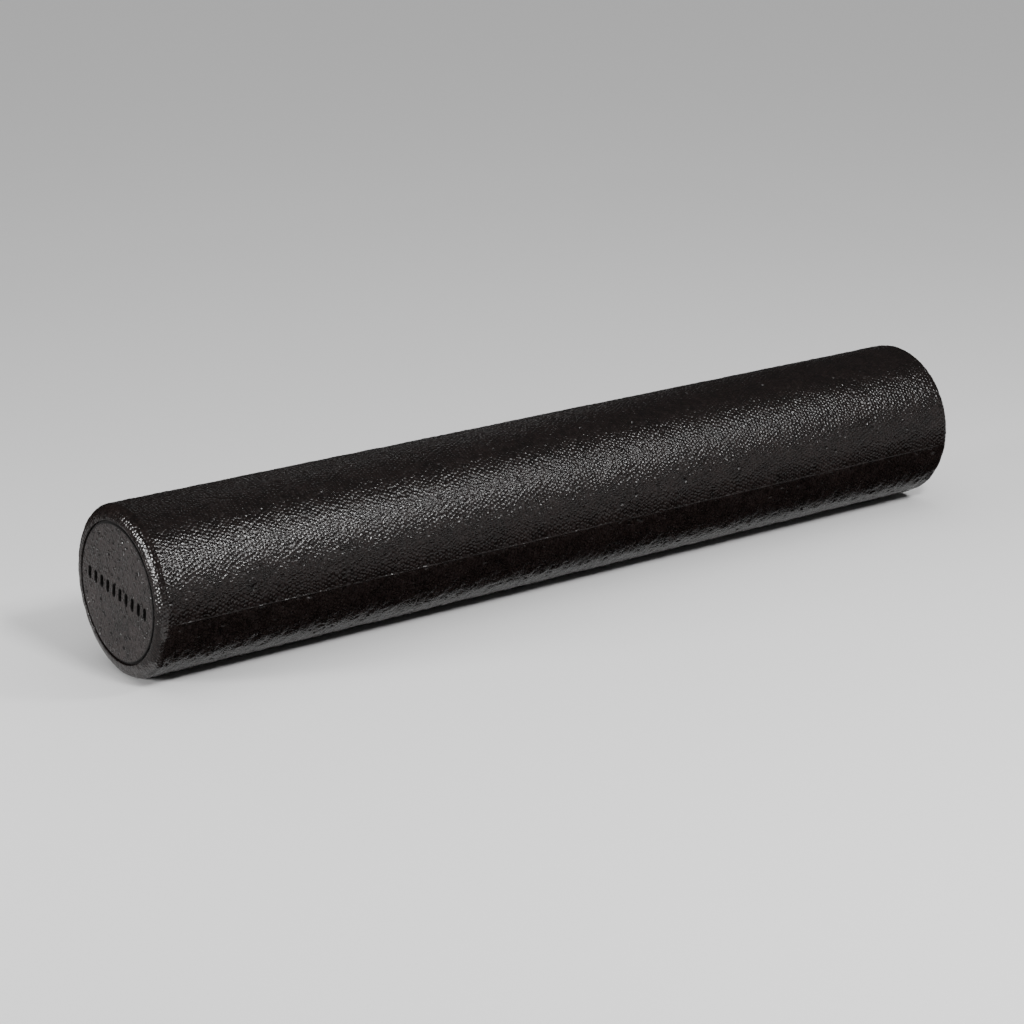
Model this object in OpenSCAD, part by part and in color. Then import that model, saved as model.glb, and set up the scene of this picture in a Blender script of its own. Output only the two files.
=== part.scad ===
// Solid bead-foam roller with a bonded disc in each end.
// X runs along the roller, Z is up, and the roller lies on the plane z = 0.
// Units are millimetres.

/* [Roller] */
// Overall length of the roller
roller_length = 914.4; // [300:0.1:920]
// Outside diameter of the barrel
roller_diameter = 152.4; // [145:0.1:160]
// Radius of the rounded rim at each end
rim_radius = 10; // [6:0.5:12]

/* [End discs] */
// Diameter of the ring groove, at the middle of its width
ring_diameter = 123; // [110:0.5:126]
// Width of the ring groove
ring_width = 1.6; // [1:0.1:2.4]
// Depth of the ring groove
ring_depth = 2; // [1:0.1:4]
// Thickness of an end disc
disc_thickness = 12; // [8:0.5:30]
// Glue gap between the side of a disc and its seat
glue_gap = 0.2; // [0.1:0.05:0.4]

/* [Disc motif] */
// Number of pill-shaped recesses in the row across a disc
pill_count = 10; // [4:2:10]
// Distance from one recess to the next
pill_pitch = 10.4; // [8:0.1:10.8]
// Width of a recess
pill_width = 5; // [3:0.1:6]
// Height of a recess, across the row
pill_height = 12; // [8:0.5:16]
// Depth of a recess
pill_depth = 3; // [0.5:0.1:5]

/* [Parting line] */
// Angle between the parting plane and the floor, with the front edge lower
parting_tilt = 7.9; // [0:0.1:20]
// Width of the raised line
parting_width = 1; // [0.6:0.1:2]
// Height of the raised line above the barrel
parting_height = 0.3; // [0.1:0.05:0.5]
// Distance between the rounded rim and the end of the raised line
parting_setback = 4; // [0:1:20]

/* [Hidden] */
$fn = 128;

barrel_radius = roller_diameter / 2;
half_length = roller_length / 2;
seat_radius = (ring_diameter + ring_width) / 2;
disc_face_radius = (ring_diameter - ring_width) / 2;
disc_radius = seat_radius - glue_gap;
straight_length = roller_length - 2 * rim_radius;
parting_length = straight_length - 2 * parting_setback;
// How far the raised line is sunk into the barrel
parting_root = 2;
// How far a cutting shape passes the face it cuts
overshoot = 1;
foam_color = [0.15, 0.14, 0.15];
disc_color = [0.24, 0.23, 0.24];

// Lays a shape built along Z down along X, with its top towards +X
module lay_along_x() {
    translate([0, 0, barrel_radius])
        rotate([0, 90, 0])
            children();
}

// Half section of the log: radius along X, length along Y
module log_section() {
    translate([0, -half_length])
        square([barrel_radius - rim_radius, roller_length]);
    translate([0, -straight_length / 2])
        square([barrel_radius, straight_length]);
    for (side = [-1, 1])
        translate([barrel_radius - rim_radius, side * straight_length / 2])
            circle(r = rim_radius);
}

// Round seat for a disc, open at the top
module disc_seat() {
    translate([0, 0, half_length - disc_thickness])
        cylinder(r = seat_radius, h = disc_thickness + overshoot);
}

// Both raised parting lines, on opposite sides of the barrel
module parting_lines() {
    for (side = [0, 180])
        rotate([0, 0, 90 + parting_tilt + side])
            translate([barrel_radius - parting_root, -parting_width / 2, -parting_length / 2])
                cube([parting_root + parting_height, parting_width, parting_length]);
}

// The moulded log with a seat in each end
module roller_body() {
    color(foam_color)
        lay_along_x()
            difference() {
                union() {
                    rotate_extrude()
                        log_section();
                    parting_lines();
                }
                disc_seat();
                mirror([0, 0, 1])
                    disc_seat();
            }
}

// Outline of one recess, upright across the row
module pill_outline() {
    straight_part = pill_height - pill_width;
    square([pill_width, straight_part], center = true);
    for (side = [-1, 1])
        translate([0, side * straight_part / 2])
            circle(d = pill_width, $fn = 32);
}

// Row of recesses through the middle of the disc, cut down from its face
module pill_row() {
    first = -(pill_count - 1) * pill_pitch / 2;
    rotate([0, 0, 90 + parting_tilt])
        for (i = [0 : pill_count - 1])
            translate([first + i * pill_pitch, 0, half_length - pill_depth])
                linear_extrude(pill_depth + overshoot)
                    pill_outline();
}

// An end disc at the top end: its front edge steps in to form the ring groove
module end_disc() {
    difference() {
        union() {
            translate([0, 0, half_length - disc_thickness])
                cylinder(r = disc_radius, h = disc_thickness - ring_depth);
            translate([0, 0, half_length - disc_thickness])
                cylinder(r = disc_face_radius, h = disc_thickness);
        }
        pill_row();
    }
}

module end_disc_left() {
    color(disc_color)
        mirror([1, 0, 0])
            lay_along_x()
                end_disc();
}

module end_disc_right() {
    color(disc_color)
        lay_along_x()
            end_disc();
}

roller_body();
end_disc_left();
end_disc_right();
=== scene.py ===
import math

import bpy
import numpy as np
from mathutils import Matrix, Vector


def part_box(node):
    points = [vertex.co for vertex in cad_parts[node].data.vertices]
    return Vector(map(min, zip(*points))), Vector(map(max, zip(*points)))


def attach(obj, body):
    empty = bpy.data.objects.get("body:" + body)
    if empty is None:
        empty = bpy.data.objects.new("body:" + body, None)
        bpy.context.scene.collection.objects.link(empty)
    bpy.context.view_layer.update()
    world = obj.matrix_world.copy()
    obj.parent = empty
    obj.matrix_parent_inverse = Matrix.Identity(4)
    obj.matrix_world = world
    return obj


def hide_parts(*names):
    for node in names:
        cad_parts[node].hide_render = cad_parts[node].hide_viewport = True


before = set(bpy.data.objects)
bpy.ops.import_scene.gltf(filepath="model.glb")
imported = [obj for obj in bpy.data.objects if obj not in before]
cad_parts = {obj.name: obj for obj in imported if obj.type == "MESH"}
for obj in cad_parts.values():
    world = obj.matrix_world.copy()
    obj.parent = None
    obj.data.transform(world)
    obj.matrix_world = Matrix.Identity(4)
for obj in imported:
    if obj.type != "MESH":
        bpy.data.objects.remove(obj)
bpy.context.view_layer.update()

# Lengths are in metres. A pair of values for the log's skin is for the half of the log below
# the parting lines and for the half above them.

# ---------------------------------------------------------------- sizes and values

# The grid of points, and the smallest distances that count
GRID_STEP = 0.00065
DISC_GRID = 260
SMALL_STEP = 1e-5
ON_OUTLINE = 1e-6

# The log's rim, an arc a little wider along the face than along the barrel. It starts a little
# way up, and the bead skin grows along it from its share at the face.
RIM_RADIUS = 0.010
RIM_SPREAD = 0.0135
RIM_START = 0.0008
RIM_STEP = 1.2 * GRID_STEP
FACE_SKIN = 0.5

# The seat in each end, and the sloping outer wall of the ring groove at its mouth
SEAT_FLOOR_RADII = (0.020, 0.045, 0.060)
SEAT_WALL_DEPTHS = (0.008, 0.004, 0.0024)
GROOVE_SLOPE = math.radians(14)
GROOVE_SLOPE_FOOT = 0.0022
GROOVE_WALL_DEPTHS = (0.0020, 0.0004, 6)
GROOVE_SKIN = 0.4
# Depth, distance outside the lip, normal along the axis and outward, and share of bead skin
GROOVE_LIP = ((0.00015, 0.0003, -0.8, -0.6, 0.3), (0.00003, 0.00045, -1, 0, 0.4))

# The end discs
RING_WIDTH = 0.0016
RING_DEPTH = 0.002
DISC_GLUE_GAP = 0.0002
DISC_EDGE = 0.0013
DISC_EDGE_DROP = 0.5 * DISC_EDGE
DISC_EDGE_STEPS = 5
DISC_WALL_DEPTH = 0.0016
DISC_BACK_SHARES = (0.66, 0.33, 0.1)

# The row of recesses in each disc, in line with the parting lines
PILL_COUNT = 10
PILL_PITCH = 0.0104
PILL_WIDTH = 0.005
PILL_HEIGHT = 0.012
PILL_DEPTH = 0.003
PILL_WALL = 0.0006
# Close to a recess the bead skin fades to this share
PILL_BORDER = 0.001
PILL_BORDER_SKIN = 0.15
# Points this close to an outline move onto it, as a share of a grid cell
OUTLINE_PULL = 0.45

# The parting lines
PARTING_TILT = math.radians(7.9)
PARTING_HEIGHT = 0.0003
PARTING_HALF_WIDTH = 0.0008
PARTING_SETBACK = 0.004
PARTING_RUN_OUT = 0.006
# Extra points beside a parting line, and how far from it the even ones stay
PARTING_HALF_GRID = (0.0002, 0.00045, 0.0008, 0.0012)
PARTING_CLEAR = 0.0015
PARTING_WANDER = 0.00012
PARTING_WANDER_LENGTH = 0.035
PARTING_STRENGTH = 0.9
PARTING_STRENGTH_SPREAD = 0.12
PARTING_STRENGTH_LENGTH = 0.012
PARTING_STRENGTH_LIMITS = (0.2, 1.2)
# The bead skin is nearly gone where the ridge is above a third of its height
PARTING_SMOOTHING = 0.95
PARTING_SMOOTH_GAIN = 3
# How sharply the lower half's skin turns into the upper half's
HALVES_SHARPNESS = 20

# The moulded foam: beads packed side by side, each a low dome
BEAD_PITCH = 0.0039
BEAD_JITTER = 0.13
BEAD_JITTER_LIMIT = 0.4
BEAD_HALF_WIDTH = 0.48 * BEAD_PITCH
BEAD_DOME_RANGE = (0.75, 1.25)
CREASE_WIDTH = 0.00045
WAVE_COUNT = 24
# Range of a pit's stretch, how far out it counts in radii, and how steep its wall is
PIT_STRETCH = (0.6, 1.5)
PIT_REACH = 3
PIT_STEEPNESS = 1.5

# Bead skin of the log
LOG_DOME = (0.00008, 0.00019)
LOG_CREASE_DEPTH = (0.00016, 0.00032)
LOG_LEAN = (0.05, 0.10)
LOG_GAPES = dict(share=0.2, spread=0.6, wavelength=0.009, radius=0.0006)
LOG_GAPE_DEPTH = 0.0004
LOG_DRIFT = 0.0008
LOG_DRIFT_LENGTH = 0.045
LOG_PITS = dict(spots=420, radii=(0.0007, 0.0018), depths=(0.0004, 0.0012))
LOG_DENTS = dict(spots=1500, radii=(0.0011, 0.0026), depths=(0.0003, 0.0010))
LOG_DENT_SHARE = (1, 0.2)
# Pits this deep have the full painted shade darkening their colour
LOG_PIT_SHADE_DEPTH = 0.0005
# Seed, wavelength, and pair of heights
LOG_WAVES = (
    (21, 0.11, (0.00012, 0.00012)),
    (22, 0.030, (0.00007, 0.00007)),
    (23, 0.0085, (0.00007, 0.00007)),
    (24, 0.016, (0.00012, 0.00004)),
)

# Bead skin of the discs
DISC_BEADS = dict(dome=0.00010, crease_depth=0.00005, lean=0.06)
DISC_BEADS_ROUND = 60
DISC_GAPES = dict(share=0.35, spread=0.8, wavelength=0.008, radius=0.0009)
DISC_GAPE_DEPTH = 0.0005
DISC_WAVE = 0.00005
DISC_WAVE_LENGTH = 0.05
DISC_PITS = dict(spots=300, radii=(0.0007, 0.0016), depths=(0.0002, 0.0011))
# Painted shade on the discs: the pit depth with full darkening, the pit depth past which the shaded
# recess material shows, the distance from a recess inside which the colour darkens, and the lift
# that lessens the painted shade in creases
DISC_PIT_SHADE_DEPTH = 0.0003
DISC_DEEP_PIT = 0.00075
RECESS_SHADE_BORDER = 0.0005
DISC_CROWN_LIFT = 0.4

# Places on the baked picture, which is 1 wide
LOG_FLAT_MARGIN = 0.01
DISC_FLAT_FACE = 0.40
DISC_FLAT_RINGS = 0.095
DISC_FLAT_FAN = 1.005

# Name, side of the log, first seed, and CAD part
DISCS = (
    ("left_disc_skin", -1, 61, "end_disc_left"),
    ("right_disc_skin", 1, 71, "end_disc_right"),
)

# Materials. Patchy is how much rougher a bead may be by its own number, and rough_creases how
# much rougher a crease is.
FOAM_SKIN = dict(dark=(0.002, 0.0012, 0.001), light=(0.0135, 0.0083, 0.0075),
                 roughness=0.22, grain=0.2, patchy=0.08, rough_creases=0.1)
FOAM_END = dict(dark=(0.002, 0.0013, 0.0011), light=(0.020, 0.0135, 0.0126),
                roughness=0.22, grain=0.8, patchy=0.45, rough_creases=0.65)
# The recess floors and deepest pits: their darker colours are painted shade
FOAM_RECESS_SHADED = dict(dark=(0.001, 0.0007, 0.0006), light=(0.006, 0.004, 0.0036),
                   roughness=0.7, grain=0.6, patchy=0.1, rough_creases=0.1)
RECESS_SPECULAR = 0.12
CLOUD_SCALE, CLOUD_DETAIL = 45, 4
GRAIN_SCALE, GRAIN_DETAIL = 1500, 3
GRAIN_HEIGHT = 0.0002
BEAD_TONE = 0.5
TONE_SHIFT = 0.15
PATCHY_POWER = 2
# A crease's share of the tone, a painted shade that darkens creases, gaps and pits, and the crown
# values at which tone and gloss are full
CREASE_SHADED_TONE = 0.25
SHADE_FREE_CROWN = 0.35
GLOSS_CROWN = 0.3

# Camera: degrees from the front towards +X and up, and its aim from the middle of the log
CAMERA_AZIMUTH = -36.78
CAMERA_ELEVATION = 17.7
CAMERA_DISTANCE = 2.65
CAMERA_AIM = (-0.0393, 0, -0.0078)
CAMERA_LENS = 100
CAMERA_SENSOR = 36

# Softboxes: name, azimuth and elevation in degrees, distance, width, height, radiance
SOFTBOXES = (
    ("key", -11, 41.5, 1.9, 0.30, 0.30, 93),
    ("key_right", 38, 42, 1.9, 0.30, 0.30, 42),
    ("fill_right", 50, 8, 2.2, 1.6, 0.7, 0.40),
    ("side", -98, 9, 1.8, 0.30, 0.30, 80),
    ("back", 150, 39, 1.9, 0.20, 0.20, 4.2),
)
FLOOR_WASH = 1.5
FLOOR_WASH_ANGLE = 1.4

# What the gloss of the foam sees lying round it: name, left, right, near, far, brightness
FLOOR_CARDS = (
    ("black_card", -0.50, 1.0, -0.42, -0.052, 0.008),
    ("white_card", -0.455, 0.75, -0.048, -0.032, 0.47),
    ("back_card", -0.46, 1.4, 0.12, 1.5, 0.08),
    ("end_card", -0.68, -0.472, -0.07, 0.15, 0.40),
    ("end_card_far", -0.68, -0.472, 0.15, 0.42, 0.63),
    ("end_black", -1.6, -0.68, -0.6, 1.2, 0.03),
)
CARD_HEIGHT = 0.001
FLAG_RADIUS = 0.55
FLAG_TOP = 0.40
FLAG_POINTS = 24
FLAG_FROM, FLAG_TO = -111, -200
FLAG_BRIGHTNESS = 0.03

# The studio: a pale floor, and a dim world that the camera sees as pale
FLOOR_REACH = 12
FLOOR_DROP = -0.0002
FLOOR_COLOUR = (0.85, 0.85, 0.85, 1)
FLOOR_ROUGHNESS = 0.8
FLOOR_SPECULAR = 0.2
# Place on the ramp from straight down to straight up, and colour
WORLD_RAMP = ((0.30, (0.04, 0.04, 0.04, 1)), (0.75, (0.12, 0.12, 0.12, 1)))
BACKDROP = (0.75, 0.75, 0.75, 1)


# ---------------------------------------------------------------- sizes from the frame

def frame_sizes():
    """Sizes of the log and its discs, from the CAD boxes of both."""
    low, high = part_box("roller_body")
    disc_low, disc_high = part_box("end_disc_left")
    size = {
        "half_length": (high[0] - low[0]) / 2,
        "radius": (high[2] - low[2]) / 2,
        "axis_height": (high[2] + low[2]) / 2,
        "disc_thickness": disc_high[0] - disc_low[0],
        "disc_radius": (disc_high[2] - disc_low[2]) / 2,
    }
    size["seat_radius"] = size["disc_radius"] + DISC_GLUE_GAP
    size["face_radius"] = size["seat_radius"] - RING_WIDTH
    return size


SIZE = frame_sizes()


# ---------------------------------------------------------------- bead pattern

def between(pair, share):
    """The value that lies share of the way from the first of the pair to the second."""
    return pair[0] + (pair[1] - pair[0]) * share


def bead_pattern(across, along, wrap, seed):
    """Distances in a jittered hexagonal packing of beads on an unrolled surface.

    across and along are arrays of places, and across repeats after wrap. The result has the
    distance to the nearest crease, the nearness of a corner where three beads meet, the
    offset from the bead's middle, and four random numbers of the bead's own.
    """
    rng = np.random.default_rng(seed)
    columns = round(wrap / BEAD_PITCH)
    pitch_across = wrap / columns
    pitch_along = BEAD_PITCH * math.sqrt(3) / 2
    spare_rows = 3
    first_row = int(np.floor(along.min() / pitch_along)) - spare_rows
    last_row = int(np.floor(along.max() / pitch_along)) + spare_rows
    rows = last_row - first_row + 1
    jitter = rng.normal(0, BEAD_JITTER, (rows, columns, 2))
    jitter = np.clip(jitter, -BEAD_JITTER_LIMIT, BEAD_JITTER_LIMIT) * BEAD_PITCH
    numbers = rng.random((rows, columns, 4)).astype(np.float32)
    across = across.astype(np.float32)
    along = along.astype(np.float32)
    home_row = np.floor(along / pitch_along).astype(np.int32)

    # Squared distances to the three nearest beads, the way to the nearest two, and which is first
    best = [np.full(across.shape, 1.0, np.float32) for _ in range(3)]
    near = [np.zeros(across.shape + (2,), np.float32) for _ in range(2)]
    who = np.zeros(across.shape, np.int32)
    for row_step in range(-2, 3):
        row = home_row + row_step
        stagger = 0.5 * (row & 1)
        home_column = np.floor(across / pitch_across - stagger).astype(np.int32)
        for column_step in range(-2, 3):
            column = home_column + column_step
            spot = jitter[row - first_row, column % columns]
            d_across = across - ((column + stagger) * pitch_across + spot[..., 0])
            d_along = along - (row * pitch_along + spot[..., 1])
            reach = (d_across ** 2 + d_along ** 2).astype(np.float32)
            first = reach < best[0]
            second = ~first & (reach < best[1])
            third = ~first & ~second & (reach < best[2])
            best[2] = np.where(first | second, best[1], np.where(third, reach, best[2]))
            best[1] = np.where(first, best[0], np.where(second, reach, best[1]))
            best[0] = np.where(first, reach, best[0])
            here = np.stack([d_across, d_along], -1).astype(np.float32)
            runner_up = np.where(second[..., None], here, near[1])
            near[1] = np.where(first[..., None], near[0], runner_up)
            near[0] = np.where(first[..., None], here, near[0])
            who = np.where(first, (row - first_row) * columns + column % columns, who)
    apart = np.maximum(np.linalg.norm(near[0] - near[1], axis=-1), SMALL_STEP)
    crease = (best[1] - best[0]) / (2 * apart)
    corner = np.sqrt(best[2]) - np.sqrt(best[0])
    return crease, corner, near[0], numbers.reshape(-1, 4)[who]


def bead_relief(pattern, dome, crease_depth, lean):
    """Height of the bead skin: a dome and a lean on each bead, and a groove between beads."""
    crease, _, offset, numbers = pattern
    inward = np.clip(crease / BEAD_HALF_WIDTH, 0, 1)
    height = -dome * between(BEAD_DOME_RANGE, numbers[..., 0]) * (1 - inward) ** 2
    height -= crease_depth * np.exp(-(crease / CREASE_WIDTH) ** 2)
    tilt = (numbers[..., 1] - 0.5) * offset[..., 0] + (numbers[..., 2] - 0.5) * offset[..., 1]
    height += lean * tilt
    return height


def soft_waves(across, along, wrap, seed, wavelength):
    """Smooth random unevenness of height about 1, from waves that close up round the barrel."""
    rng = np.random.default_rng(seed)
    total = np.zeros(across.shape)
    for _ in range(WAVE_COUNT):
        angle = rng.uniform(0, math.tau)
        turns = round(math.cos(angle) * wrap / wavelength)
        per_metre = math.sin(angle) / wavelength
        phase = rng.uniform(0, math.tau)
        total += np.sin(math.tau * (turns * across / wrap + per_metre * along) + phase)
    return total * math.sqrt(2 / WAVE_COUNT)


def gaping_corners(pattern, grid, seed, share, spread, wavelength, radius):
    """How open the corner between three beads is, 0 to 1; slow waves choose where they gape."""
    choice = share + spread * soft_waves(*grid, seed, wavelength)
    return np.clip(choice, 0, 1) * np.exp(-(pattern[1] / radius) ** 2)


def pits(across, along, wrap, seed, low, high, spots, radii, depths):
    """Depth of round pits, scattered from low to high. Each touches only the rows near it."""
    rng = np.random.default_rng(seed)
    depth = np.zeros(across.shape)
    lowest, highest = along.min(axis=1), along.max(axis=1)
    for _ in range(spots):
        at_across = rng.uniform(0, wrap)
        at_along = rng.uniform(low, high)
        radius = rng.uniform(*radii)
        deep = rng.uniform(*depths)
        stretch = rng.uniform(*PIT_STRETCH)
        above = highest > at_along - PIT_REACH * radius
        below = lowest < at_along + PIT_REACH * radius
        touched = np.flatnonzero(above & below)
        if len(touched) == 0:
            continue
        first, last = touched[0], touched[-1] + 1
        d_across = (across[first:last] - at_across + wrap / 2) % wrap - wrap / 2
        d_along = along[first:last] - at_along
        reach = (d_across / stretch) ** 2 + (d_along * stretch) ** 2
        reach = np.minimum(reach / radius ** 2, PIT_REACH ** 2)
        depth[first:last] += deep * np.exp(-reach ** PIT_STEEPNESS)
    return depth


def crown_height(pattern):
    """How far a place is from a crease: 0 in it, and 1 half a pitch away."""
    return pattern[0] / (0.5 * BEAD_PITCH)


# ---------------------------------------------------------------- mesh building

def add_object(name, data):
    """A new object in the scene."""
    item = bpy.data.objects.new(name, data)
    bpy.context.scene.collection.objects.link(item)
    return item


def grid_faces(rows, columns, wrap):
    """Quads of a grid of points numbered row by row; wrap closes each row into a ring."""
    last = columns if wrap else columns - 1
    row = np.arange(rows - 1)[:, None] * columns
    column = np.arange(last)[None, :]
    beside = (column + 1) % columns
    return np.stack([row + column, row + beside,
                     row + columns + beside, row + columns + column], -1).reshape(-1, 4)


def build_mesh(name, points, quads, fans, layout):
    """A smooth-shaded mesh object from numbered points, quads and triangles.

    layout has the place on the baked picture for each corner of the quads and then the triangles.
    """
    corners = np.concatenate([quads.ravel(), fans.ravel()]).astype(np.int32)
    sizes = np.concatenate([np.full(len(quads), 4), np.full(len(fans), 3)]).astype(np.int32)
    starts = np.concatenate([[0], np.cumsum(sizes)[:-1]]).astype(np.int32)
    mesh = bpy.data.meshes.new(name)
    mesh.vertices.add(len(points))
    mesh.vertices.foreach_set("co", points.astype(np.float32).ravel())
    mesh.loops.add(len(corners))
    mesh.loops.foreach_set("vertex_index", corners)
    mesh.polygons.add(len(sizes))
    mesh.polygons.foreach_set("loop_start", starts)
    mesh.update(calc_edges=True)
    baked = mesh.uv_layers.new(name="OFBake")
    baked.data.foreach_set("uv", layout.astype(np.float32).ravel())
    mesh.validate()
    mesh.shade_smooth()
    return add_object(name, mesh)


def point_numbers(piece, name, values):
    """Stores one number for each point, for the material to read. The last points get 0."""
    rest = np.zeros(len(piece.data.vertices) - values.size)
    layer = piece.data.attributes.new(name, "FLOAT", "POINT")
    layer.data.foreach_set("value", np.append(values.ravel(), rest).astype(np.float32))


def steps(start, stop, step):
    """Even places from start to stop about a step apart, without stop itself."""
    count = max(1, round(abs(stop - start) / step))
    return np.linspace(start, stop, count + 1)[:-1]


# ---------------------------------------------------------------- the moulded log

def log_profile():
    """Half section of the log from the middle of the left seat floor to the right one.

    Each station has x, radius, outward normal, and how far the bead skin shows there. The
    second result is each station's distance along the skin from the middle of the log.
    """
    half = SIZE["half_length"]
    seat = SIZE["seat_radius"]
    seat_floor = half - SIZE["disc_thickness"]
    lip = SIZE["radius"] - RIM_SPREAD
    rows = []
    for radius in SEAT_FLOOR_RADII:
        rows.append((-seat_floor, radius, -1, 0, 0))
    for depth in (SIZE["disc_thickness"], *SEAT_WALL_DEPTHS):
        rows.append((-half + depth, seat, 0, -1, 0))
    for depth in np.linspace(*GROOVE_WALL_DEPTHS):
        rows.append((-half + depth, seat + (GROOVE_SLOPE_FOOT - depth) * math.tan(GROOVE_SLOPE),
                     -math.sin(GROOVE_SLOPE), -math.cos(GROOVE_SLOPE), GROOVE_SKIN))
    for depth, out, normal_x, normal_r, skin in GROOVE_LIP:
        rows.append((-half + depth, lip + out, normal_x, normal_r, skin))
    rim_start = math.asin(RIM_START / RIM_SPREAD)
    for turn in steps(rim_start, math.pi / 2, RIM_STEP / RIM_SPREAD):
        normal = np.array([-math.cos(turn) / RIM_RADIUS, math.sin(turn) / RIM_SPREAD])
        normal /= np.linalg.norm(normal)
        rows.append((-half + RIM_RADIUS * (1 - math.cos(turn)),
                     lip + RIM_SPREAD * math.sin(turn), normal[0], normal[1],
                     between((FACE_SKIN, 1), math.sin(turn))))
    for x in steps(-half + RIM_RADIUS, 0, GRID_STEP):
        rows.append((x, SIZE["radius"], 0, 1, 1))
    left = np.array(rows)
    middle = np.array([(0, SIZE["radius"], 0, 1, 1)])
    right = left[::-1] * np.array([-1, 1, -1, 1, 1])
    profile = np.concatenate([left, middle, right])
    lengths = np.hypot(*np.diff(profile[:, :2], axis=0).T)
    travelled = np.concatenate([[0], np.cumsum(lengths)])
    travelled -= travelled[len(left)]
    return profile, travelled


def turned_from(angles, seam):
    """How far each angle is turned from a parting line's, -pi to pi."""
    return (angles - seam + math.pi) % math.tau - math.pi


def log_angles():
    """Angles round the barrel, with extra ones close to both parting lines, and the lines' own."""
    seams = (math.pi + PARTING_TILT, PARTING_TILT)
    radius = SIZE["radius"]
    even = np.linspace(0, math.tau, round(math.tau * radius / GRID_STEP), endpoint=False)
    half_grid = np.array(PARTING_HALF_GRID)
    offsets = np.concatenate([-half_grid[::-1], [0], half_grid]) / radius
    keep = np.ones(len(even), bool)
    for seam in seams:
        keep &= np.abs(turned_from(even, seam)) > PARTING_CLEAR / radius
    extra = np.concatenate([seam + offsets for seam in seams])
    return np.sort(np.concatenate([even[keep], extra]) % math.tau), seams


def log_layout(angles, travelled):
    """The skin of the log laid out flat, one corner after another, in the order of its faces."""
    here = (angles - angles[0]) / math.tau
    after = np.append(here[1:], 1)
    share = (travelled - travelled[0]) / (travelled[-1] - travelled[0])
    along = LOG_FLAT_MARGIN + (1 - 2 * LOG_FLAT_MARGIN) * share
    quads = np.empty((len(along) - 1, len(angles), 4, 2))
    quads[..., 0] = np.stack([here, after, after, here], -1)
    quads[..., 1] = np.stack([along[:-1], along[:-1], along[1:], along[1:]], -1)[:, None]
    middle = (here + after) / 2
    fans = []
    for corners, pole, edge in (((middle, after, here), 0, LOG_FLAT_MARGIN),
                                ((middle, here, after), 1, 1 - LOG_FLAT_MARGIN)):
        heights = np.broadcast_to([pole, edge, edge], (len(here), 3))
        fans.append(np.stack([np.stack(corners, -1), heights], -1).reshape(-1, 2))
    return np.concatenate([quads.reshape(-1, 2), *fans])


def parting_ridges(profile, angles, seams, across, along, wrap):
    """Height of the raised parting lines, as a share of their full height."""
    ridge = np.zeros(across.shape)
    ridge_end = SIZE["half_length"] - RIM_RADIUS - PARTING_SETBACK
    to_end = ridge_end - np.abs(profile[:, 0])
    run_out = np.clip(to_end / PARTING_RUN_OUT, 0, 1)[:, None]
    line = (across[:, :1], along[:, :1], wrap)
    for number, seam in enumerate(seams):
        wander = soft_waves(*line, 41 + number, PARTING_WANDER_LENGTH) * PARTING_WANDER
        wave = soft_waves(*line, 51 + number, PARTING_STRENGTH_LENGTH)
        strength = PARTING_STRENGTH + PARTING_STRENGTH_SPREAD * wave
        aside = turned_from(angles, seam)[None, :] * SIZE["radius"] - wander
        crest = np.clip(1 - np.abs(aside) / PARTING_HALF_WIDTH, 0, 1)
        ridge = np.maximum(ridge, crest * np.clip(strength, *PARTING_STRENGTH_LIMITS) * run_out)
    return ridge


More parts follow.
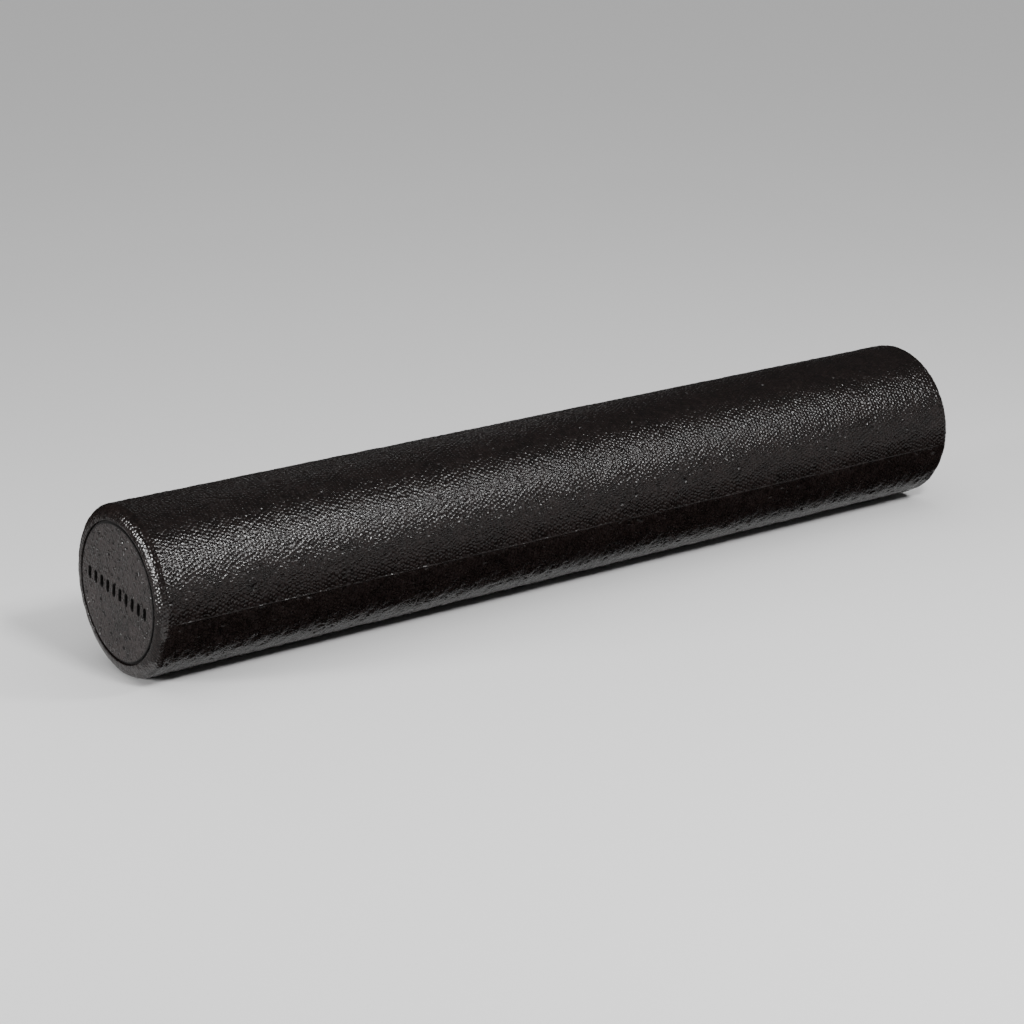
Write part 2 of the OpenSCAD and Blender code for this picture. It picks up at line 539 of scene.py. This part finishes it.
def make_log():
    """The moulded log: bead skin, rounded rims, parting lines, and a seat in each end."""
    profile, travelled = log_profile()
    angles, seams = log_angles()
    radius = SIZE["radius"]
    wrap = math.tau * radius
    across, along = np.meshgrid(angles * radius, travelled)
    grid = (across, along, wrap)
    bend = soft_waves(*grid, 12, LOG_DRIFT_LENGTH) * LOG_DRIFT
    sway = soft_waves(*grid, 13, LOG_DRIFT_LENGTH) * LOG_DRIFT
    pattern = bead_pattern(across + bend, along + sway, wrap, seed=11)
    skin = profile[:, 4][:, None]
    upper = np.clip(0.5 + np.sin(angles - PARTING_TILT) * HALVES_SHARPNESS, 0, 1)[None, :]
    relief = bead_relief(pattern, dome=between(LOG_DOME, upper),
                         crease_depth=between(LOG_CREASE_DEPTH, upper),
                         lean=between(LOG_LEAN, upper))
    gaping = gaping_corners(pattern, grid, 14, **LOG_GAPES)
    relief = (relief - LOG_GAPE_DEPTH * gaping) * skin
    for seed, wavelength, heights in LOG_WAVES:
        relief += soft_waves(*grid, seed, wavelength) * between(heights, upper) * skin
    low, high = -SIZE["half_length"] + RIM_RADIUS, SIZE["half_length"] - RIM_RADIUS
    hollow = pits(*grid, 31, low, high, **LOG_PITS) * skin
    dents = pits(*grid, 32, low, high, **LOG_DENTS)
    relief -= hollow + dents * skin * between(LOG_DENT_SHARE, upper)
    ridge = parting_ridges(profile, angles, seams, *grid)
    smoothing = PARTING_SMOOTHING * np.clip(ridge * PARTING_SMOOTH_GAIN, 0, 1)
    relief = relief * (1 - smoothing) + ridge * PARTING_HEIGHT

    axis = SIZE["axis_height"]
    out_x = profile[:, 0][:, None] + relief * profile[:, 2][:, None]
    out_r = profile[:, 1][:, None] + relief * profile[:, 3][:, None]
    points = np.stack([out_x, out_r * np.cos(angles), axis + out_r * np.sin(angles)], -1)
    points[..., 2] = np.maximum(points[..., 2], 0)
    rows, columns = relief.shape
    poles = np.array([[profile[0, 0], 0, axis], [profile[-1, 0], 0, axis]])
    first_pole = rows * columns
    ring = np.arange(columns)
    beside = (ring + 1) % columns
    last_row = (rows - 1) * columns
    fans = np.concatenate([
        np.stack([np.full(columns, first_pole), beside, ring], -1),
        np.stack([np.full(columns, first_pole + 1), last_row + ring, last_row + beside], -1),
    ])
    piece = build_mesh("log_skin", np.concatenate([points.reshape(-1, 3), poles]),
                       grid_faces(rows, columns, wrap=True), fans, log_layout(angles, travelled))
    # The crown number is 0 in creases, gaping corners and pits; the material darkens the colour
    # there as painted shade and makes it rougher
    crown = np.clip(crown_height(pattern), 0, 1) * (1 - gaping)
    point_numbers(piece, "crown", crown * (1 - np.clip(hollow / LOG_PIT_SHADE_DEPTH, 0, 1)))
    point_numbers(piece, "bead", pattern[3][..., 3])
    return piece


# ---------------------------------------------------------------- the end discs

def pill_distance(along_row, up):
    """Signed distance from the outline of the nearest recess in the row, negative inside."""
    middle = (PILL_COUNT - 1) / 2
    number = np.clip(np.round(along_row / PILL_PITCH + middle), 0, PILL_COUNT - 1)
    d_along = along_row - (number - middle) * PILL_PITCH
    d_up = np.maximum(np.abs(up) - (PILL_HEIGHT - PILL_WIDTH) / 2, 0)
    return np.hypot(d_along, d_up) - PILL_WIDTH / 2


def round_grid(count):
    """Square grid of points in -1..1, pressed into a round disc of radius 1."""
    line = np.linspace(-1, 1, count + 1)
    u, v = np.meshgrid(line, line)
    return u * np.sqrt(1 - v ** 2 / 2), v * np.sqrt(1 - u ** 2 / 2)


def disc_places(u, v):
    """Places of the round grid on a disc's face, and their distance from a recess's outline."""
    flat_radius = SIZE["face_radius"] - DISC_EDGE
    y, z = u * flat_radius, v * flat_radius
    cos_tilt, sin_tilt = math.cos(PARTING_TILT), math.sin(PARTING_TILT)
    along_row = y * cos_tilt + z * sin_tilt
    up = -y * sin_tilt + z * cos_tilt
    outline = pill_distance(along_row, up)

    # Points close to an outline move onto it, so that each recess has a clean edge
    slope_along = (pill_distance(along_row + SMALL_STEP, up) - outline) / SMALL_STEP
    slope_up = (pill_distance(along_row, up + SMALL_STEP) - outline) / SMALL_STEP
    cell = 2 * SIZE["face_radius"] / DISC_GRID
    pull = np.where(np.abs(outline) < OUTLINE_PULL * cell, -outline, 0)
    along_row = along_row + pull * slope_along
    up = up + pull * slope_up
    y = along_row * cos_tilt - up * sin_tilt
    z = along_row * sin_tilt + up * cos_tilt
    return y, z, np.where(pull != 0, 0, outline)


def disc_skin(y, z, outline, seed):
    """Height of a disc's face over its plane, its bead pattern, gaping corners and pits."""
    face = SIZE["face_radius"]
    wrap = BEAD_PITCH * DISC_BEADS_ROUND
    pattern = bead_pattern(y + wrap / 2, z, wrap, seed=seed)
    relief = bead_relief(pattern, **DISC_BEADS)
    gaping = gaping_corners(pattern, (y, z, wrap), seed + 3, **DISC_GAPES)
    relief -= DISC_GAPE_DEPTH * gaping
    relief += soft_waves(y, z, wrap, seed + 1, DISC_WAVE_LENGTH) * DISC_WAVE
    hollow = pits(y + wrap / 2, z, wrap, seed + 2, -face, face, **DISC_PITS)
    relief -= hollow
    sunk = np.clip(-outline / PILL_WALL, 0, 1)
    relief = relief * np.clip(outline / PILL_BORDER, PILL_BORDER_SKIN, 1) - PILL_DEPTH * sunk
    return relief, pattern, gaping, hollow


def disc_rings():
    """Place on the axis and radius of each ring of points from the face's edge to the back."""
    half, face = SIZE["half_length"], SIZE["face_radius"]
    shoulder = half - RING_DEPTH
    back = half - SIZE["disc_thickness"]
    wide = SIZE["disc_radius"]
    rings = []
    for angle in np.linspace(0, math.pi / 2, DISC_EDGE_STEPS + 1)[1:]:
        rings.append((half - DISC_EDGE_DROP * (1 - math.cos(angle)),
                      face - DISC_EDGE * (1 - math.sin(angle))))
    rings += [(half - DISC_WALL_DEPTH, face), (shoulder, face), (shoulder, wide), (back, wide)]
    rings += [(back, wide * share) for share in DISC_BACK_SHARES]
    return rings


def make_disc(name, side, seed):
    """An end disc: flat bead skin with pits, a row of pill recesses, and a stepped edge.

    The second result is which of its materials each face shows.
    """
    u, v = round_grid(DISC_GRID)
    y, z, outline = disc_places(u, v)
    relief, pattern, gaping, hollow = disc_skin(y, z, outline, seed)
    top = np.stack([SIZE["half_length"] + relief, y, z], -1).reshape(-1, 3)

    size = DISC_GRID + 1
    index = np.arange(size * size).reshape(size, size)
    border = np.concatenate([index[0, :-1], index[:-1, -1], index[-1, :0:-1], index[:0:-1, 0]])
    turn = np.arctan2(v.ravel()[border], u.ravel()[border])
    rings = disc_rings()
    shell = [np.stack([np.full(len(turn), x), r * np.cos(turn), r * np.sin(turn)], -1)
             for x, r in rings]
    points = np.concatenate([top, *shell, [[rings[-1][0], 0, 0]]])

    # The face is laid out as a disc, the rings as rings round it, and the fan that closes the
    # back as slivers outside the last ring
    bands = []
    flat = [DISC_FLAT_FACE * np.stack([u.ravel(), v.ravel()], -1)]
    before = border
    for number in range(len(rings)):
        after = size * size + number * len(turn) + np.arange(len(turn))
        bands.append(np.stack([before, np.roll(before, -1), np.roll(after, -1), after], -1))
        out = DISC_FLAT_FACE + DISC_FLAT_RINGS * (number + 1) / len(rings)
        flat.append(out * np.stack([np.cos(turn), np.sin(turn)], -1))
        before = after
    flat = np.concatenate([*flat, [[0, 0]]])
    fans = np.stack([before, np.roll(before, -1), np.full(len(before), len(points) - 1)], -1)
    quads = np.concatenate([grid_faces(size, size, wrap=False)[:, ::-1], *bands])
    fan_flat = flat[fans]
    fan_flat[:, 2] = DISC_FLAT_FAN * fan_flat[:, 0]
    if side < 0:
        points = points * np.array([-1, 1, 1])
    else:
        quads, fans, fan_flat = quads[:, ::-1], fans[:, ::-1], fan_flat[:, ::-1]
    points = points + np.array([0, 0, SIZE["axis_height"]])
    layout = 0.5 + np.concatenate([flat[quads].reshape(-1, 2), fan_flat.reshape(-1, 2)])
    piece = build_mesh(name, points, quads, fans, layout)

    # Painted shade: the crown number, lifted so creases darken less, falls to 0 in pits, gaping
    # corners and beside the recesses, and the material darkens the colour there
    crown = np.clip(DISC_CROWN_LIFT + crown_height(pattern), 0, 1)
    crown = crown * (1 - np.clip(hollow / DISC_PIT_SHADE_DEPTH, 0, 1))
    crown *= np.clip(outline / RECESS_SHADE_BORDER, 0, 1) * (1 - gaping)
    point_numbers(piece, "crown", crown)
    point_numbers(piece, "bead", pattern[3][..., 3])

    # A face of the grid shows the recess material, dark with painted shade, if all four of its
    # corners are sunk
    inside = (outline < ON_OUTLINE) | (hollow > DISC_DEEP_PIT)
    deep = inside[:-1, :-1] & inside[1:, :-1] & inside[:-1, 1:] & inside[1:, 1:]
    shown = np.zeros(len(piece.data.polygons), np.int32)
    shown[:deep.size] = deep.ravel()
    return piece, shown


# ---------------------------------------------------------------- materials

def principled(name):
    """A new material and its shader."""
    material = bpy.data.materials.new(name)
    material.use_nodes = True
    return material, material.node_tree.nodes["Principled BSDF"]


def read_number(tree, name):
    """The number that each point of a mesh has under this name."""
    node = tree.nodes.new("ShaderNodeAttribute")
    node.attribute_name = name
    return node.outputs["Fac"]


def noise(tree, place, scale, detail):
    """Noise in the object's own space."""
    node = tree.nodes.new("ShaderNodeTexNoise")
    node.inputs["Scale"].default_value = scale
    node.inputs["Detail"].default_value = detail
    tree.links.new(place, node.inputs["Vector"])
    return node.outputs["Fac"]


def rise(tree, value, full, low, high):
    """A number that goes from low to high while value goes from 0 to full."""
    node = tree.nodes.new("ShaderNodeMapRange")
    node.inputs["From Max"].default_value = full
    node.inputs["To Min"].default_value = low
    node.inputs["To Max"].default_value = high
    tree.links.new(value, node.inputs["Value"])
    return node.outputs["Result"]


def calculate(tree, operation, *terms):
    """The result of a maths node; each term is a number or the output of a node."""
    node = tree.nodes.new("ShaderNodeMath")
    node.operation = operation
    for socket, term in zip(node.inputs, terms):
        if isinstance(term, (int, float)):
            socket.default_value = term
        else:
            tree.links.new(term, socket)
    return node.outputs[0]


def foam_material(name, dark, light, roughness, grain, patchy, rough_creases):
    """Near-black moulded bead foam: creases, gaping corners and pits darkened as painted shade, a
    tone for each bead, fine grain.
    """
    material, shader = principled(name)
    tree = material.node_tree
    place = tree.nodes.new("ShaderNodeTexCoord").outputs["Object"]
    crown = read_number(tree, "crown")
    bead = read_number(tree, "bead")

    cloud = noise(tree, place, CLOUD_SCALE, CLOUD_DETAIL)
    tone = calculate(tree, "MULTIPLY_ADD", bead, BEAD_TONE, cloud)
    tone = calculate(tree, "SUBTRACT", tone, TONE_SHIFT)
    # Painted shade: the tone falls where the crown number is low, in creases, gaping corners, pits
    # and beside recesses
    tone = calculate(tree, "MULTIPLY", tone, rise(tree, crown, SHADE_FREE_CROWN, CREASE_SHADED_TONE, 1))
    ramp = tree.nodes.new("ShaderNodeValToRGB")
    ramp.color_ramp.elements[0].color = (*dark, 1)
    ramp.color_ramp.elements[1].color = (*light, 1)
    tree.links.new(tone, ramp.inputs["Fac"])
    tree.links.new(ramp.outputs["Color"], shader.inputs["Base Color"])

    gloss = rise(tree, crown, GLOSS_CROWN, roughness + rough_creases, roughness)
    uneven = calculate(tree, "POWER", bead, PATCHY_POWER)
    dulled = calculate(tree, "MULTIPLY_ADD", uneven, patchy, gloss)
    tree.links.new(dulled, shader.inputs["Roughness"])

    bump = tree.nodes.new("ShaderNodeBump")
    bump.inputs["Strength"].default_value = grain
    bump.inputs["Distance"].default_value = GRAIN_HEIGHT
    tree.links.new(noise(tree, place, GRAIN_SCALE, GRAIN_DETAIL), bump.inputs["Height"])
    tree.links.new(bump.outputs["Normal"], shader.inputs["Normal"])
    return material


def recess_material():
    """The floors of the recesses and of the deepest pits: dull and grainy, and dark with painted
    shade.
    """
    material = foam_material("foam_recess_shaded", **FOAM_RECESS_SHADED)
    shader = material.node_tree.nodes["Principled BSDF"]
    shader.inputs["Specular IOR Level"].default_value = RECESS_SPECULAR
    return material


# ---------------------------------------------------------------- floor, lights, camera

def make_floor():
    """A wide pale floor, a hair below the roller."""
    mesh = bpy.data.meshes.new("floor")
    corners = ((-1, -1), (1, -1), (1, 1), (-1, 1))
    points = [(FLOOR_REACH * x, FLOOR_REACH * y, 0) for x, y in corners]
    mesh.from_pydata(points, [], [(0, 1, 2, 3)])
    floor = add_object("floor", mesh)
    material, shader = principled("floor")
    shader.inputs["Base Color"].default_value = FLOOR_COLOUR
    shader.inputs["Roughness"].default_value = FLOOR_ROUGHNESS
    shader.inputs["Specular IOR Level"].default_value = FLOOR_SPECULAR
    mesh.materials.append(material)
    floor.location.z = FLOOR_DROP
    return floor


def reflection_card(name, points, faces, brightness):
    """A card that only the gloss of the foam sees: it neither shows nor shades the floor."""
    mesh = bpy.data.meshes.new(name)
    mesh.from_pydata(points, [], faces)
    card = add_object(name, mesh)
    material, shader = principled(name)
    shader.inputs["Base Color"].default_value = (0, 0, 0, 1)
    shader.inputs["Specular IOR Level"].default_value = 0
    shader.inputs["Emission Color"].default_value = (1, 1, 1, 1)
    shader.inputs["Emission Strength"].default_value = brightness
    mesh.materials.append(material)
    card.visible_camera = False
    card.visible_diffuse = False
    card.visible_shadow = False


def make_cards():
    """What the foam mirrors: cards lying round it, and an upright dark flag round the near end."""
    for name, left, right, near, far, brightness in FLOOR_CARDS:
        corners = ((left, near), (right, near), (right, far), (left, far))
        reflection_card(name, [(x, y, CARD_HEIGHT) for x, y in corners], [(0, 1, 2, 3)], brightness)
    end = SIZE["half_length"]
    angles = np.radians(np.linspace(FLAG_FROM, FLAG_TO, FLAG_POINTS))
    points = [(-end + FLAG_RADIUS * math.sin(a), -FLAG_RADIUS * math.cos(a), z)
              for z in (0, FLAG_TOP) for a in angles]
    faces = [(k, k + 1, k + 1 + FLAG_POINTS, k + FLAG_POINTS) for k in range(FLAG_POINTS - 1)]
    reflection_card("black_flag", points, faces, FLAG_BRIGHTNESS)


def direction(azimuth, elevation):
    """Unit vector from the roller: azimuth 0 is towards -Y and 90 towards +X, in degrees."""
    azimuth, elevation = math.radians(azimuth), math.radians(elevation)
    flat = math.cos(elevation)
    return Vector((math.sin(azimuth) * flat, -math.cos(azimuth) * flat, math.sin(elevation)))


def face_from(item, way, distance, centre):
    """Puts an item at a distance from the centre along the given way, looking back at it."""
    item.location = centre + way * distance
    item.rotation_euler = way.to_track_quat("Z", "Y").to_euler()


def softbox(name, azimuth, elevation, distance, width, height, radiance, centre):
    """A rectangular softbox that faces the given centre."""
    lamp = bpy.data.lights.new(name, "AREA")
    lamp.shape = "RECTANGLE"
    lamp.size = width
    lamp.size_y = height
    lamp.energy = radiance * math.pi * width * height
    box = add_object(name, lamp)
    face_from(box, direction(azimuth, elevation), distance, centre)
    box.visible_camera = False


def make_world():
    """A world that lights the scene dimly, more from above, and that the camera sees as pale."""
    world = bpy.data.worlds.new("studio")
    bpy.context.scene.world = world
    world.use_nodes = True
    nodes, links = world.node_tree.nodes, world.node_tree.links
    way = nodes.new("ShaderNodeTexCoord")
    split = nodes.new("ShaderNodeSeparateXYZ")
    links.new(way.outputs["Generated"], split.inputs["Vector"])
    ramp = nodes.new("ShaderNodeValToRGB")
    for element, (position, colour) in zip(ramp.color_ramp.elements, WORLD_RAMP):
        element.position = position
        element.color = colour
    links.new(split.outputs["Z"], ramp.inputs["Fac"])
    seen = nodes.new("ShaderNodeMixRGB")
    seen.inputs["Color2"].default_value = BACKDROP
    links.new(nodes.new("ShaderNodeLightPath").outputs["Is Camera Ray"], seen.inputs["Fac"])
    links.new(ramp.outputs["Color"], seen.inputs["Color1"])
    links.new(seen.outputs["Color"], nodes["Background"].inputs["Color"])


def make_lights(floor):
    """Softboxes on the roller, a wash of light that only the floor gets, and the world."""
    centre = Vector((0, 0, SIZE["axis_height"]))
    for values in SOFTBOXES:
        softbox(*values, centre)
    wash = bpy.data.lights.new("floor_wash", "SUN")
    wash.energy = FLOOR_WASH
    wash.angle = FLOOR_WASH_ANGLE
    lamp = add_object("floor_wash", wash)
    lamp.light_linking.receiver_collection = bpy.data.collections.new("washed")
    lamp.light_linking.receiver_collection.objects.link(floor)
    make_world()


def make_camera():
    """Long lens at the viewing angle of the picture."""
    camera = bpy.data.cameras.new("camera")
    camera.lens = CAMERA_LENS
    camera.sensor_width = CAMERA_SENSOR
    item = add_object("camera", camera)
    aim = Vector((0, 0, SIZE["axis_height"])) + Vector(CAMERA_AIM)
    face_from(item, direction(CAMERA_AZIMUTH, CAMERA_ELEVATION), CAMERA_DISTANCE, aim)
    bpy.context.scene.camera = item


# ---------------------------------------------------------------- assembly

def place(piece, node, slot, material):
    """Gives a piece its material and stands it in for its CAD part."""
    piece.data.materials.append(material)
    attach(piece, "root")
    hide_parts(node)


make_camera()
skin_material = foam_material("foam_skin", **FOAM_SKIN)
end_material = foam_material("foam_end", **FOAM_END)
recess_shade_material = recess_material()
place(make_log(), "roller_body", "foam_skin", skin_material)
for name, side, seed, node in DISCS:
    disc, shown = make_disc(name, side, seed)
    place(disc, node, "foam_end", end_material)
    disc.data.materials.append(recess_shade_material)
    disc.data.polygons.foreach_set("material_index", shown)
floor = make_floor()
make_cards()
make_lights(floor)
